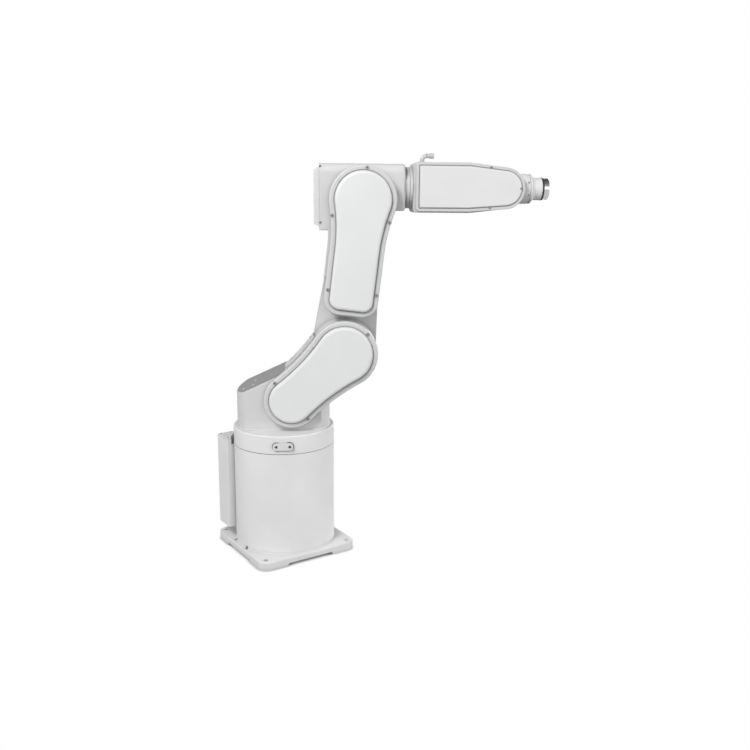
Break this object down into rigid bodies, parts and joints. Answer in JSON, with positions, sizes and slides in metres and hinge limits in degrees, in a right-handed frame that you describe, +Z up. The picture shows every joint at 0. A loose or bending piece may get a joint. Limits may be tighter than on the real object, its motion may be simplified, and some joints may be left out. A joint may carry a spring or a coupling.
{
  "type": "industrial robot arm",
  "caption": "Six-axis industrial robot arm on a round column with a square bolted foot, offset belt covers on both links, a tapered forearm and a small round tool flange.",
  "frame": {"origin": "centre of the foot's underside, on the first axis", "axes": "+Z up along the first axis; X and Y square to the foot, with the connector box at the -X, +Y side of the column; at rest the arm points 30 degrees from +X towards -Y"},
  "size_m": [0.544, 0.369, 0.7613],
  "materials": {
    "casting_paint": "satin white powder coat on cast aluminium",
    "arm_paint": "satin light grey powder coat on cast aluminium",
    "roof_paint": "satin mid grey on sheet metal",
    "cover_paint": "smooth semi-gloss white",
    "dark_seal": "matt black",
    "bearing_steel": "ground steel",
    "flange_metal": "turned bare metal",
    "fitting_plastic": "pale grey moulded"
  },
  "bodies": {
    "base": {"base_casting": "casting_paint", "connector_box": "casting_paint", "box_lid": "cover_paint", "bearing_ring": "bearing_steel"},
    "shoulder": {"turntable": "casting_paint", "stop_plate": "cover_paint", "shoulder_casting": "arm_paint", "shoulder_joint_ring": "arm_paint", "shoulder_top_cover": "roof_paint", "shoulder_back_cover": "arm_paint", "shoulder_far_cover": "cover_paint", "shoulder_belt_cover": "cover_paint"},
    "lower_arm": {"lower_arm_casting": "arm_paint", "arm_belt_cover": "cover_paint", "arm_hub_cap": "cover_paint", "arm_far_cover": "cover_paint"},
    "elbow": {"elbow_joint_ring": "arm_paint", "elbow_housing": "arm_paint", "elbow_back_cover": "cover_paint", "elbow_far_cap": "cover_paint", "roll_barrel": "arm_paint"},
    "forearm": {"neck_ring": "arm_paint", "neck_sleeve": "arm_paint", "forearm_casting": "arm_paint", "forearm_near_cover": "cover_paint", "forearm_far_cover": "cover_paint", "air_fitting": "fitting_plastic", "air_fitting_nut": "fitting_plastic"},
    "wrist": {"wrist_housing": "casting_paint", "wrist_collar": "casting_paint", "wrist_barrel": "casting_paint", "flange_seal": "dark_seal"},
    "flange": {"tool_flange": "flange_metal"}
  },
  "joints": [
    {"name": "base_turn", "type": "hinge", "parent": "base", "child": "shoulder", "pos_m": [0, 0, 0.2145], "axis": [0, 0, 1], "range_deg": [-140, 200]},
    {"name": "shoulder_swing", "type": "hinge", "parent": "shoulder", "child": "lower_arm", "pos_m": [0.10046, -0.058, 0.396], "axis": [0.5, 0.866, 0], "range_deg": [-60, 90]},
    {"name": "elbow_swing", "type": "hinge", "parent": "lower_arm", "child": "elbow", "pos_m": [0.12895, -0.07445, 0.67607], "axis": [-0.5, -0.866, 0], "range_deg": [-60, 160]},
    {"name": "forearm_roll", "type": "hinge", "parent": "elbow", "child": "forearm", "pos_m": [0.19823, -0.11445, 0.69857], "axis": [0.866, -0.5, 0], "range_deg": [-190, 190]},
    {"name": "wrist_bend", "type": "hinge", "parent": "forearm", "child": "wrist", "pos_m": [0.35507, -0.205, 0.69857], "axis": [0.5, 0.866, 0], "range_deg": [-120, 120]},
    {"name": "flange_turn", "type": "hinge", "parent": "wrist", "child": "flange", "pos_m": [0.42262, -0.244, 0.69857], "axis": [0.866, -0.5, 0], "range_deg": [-360, 360]}
  ]
}
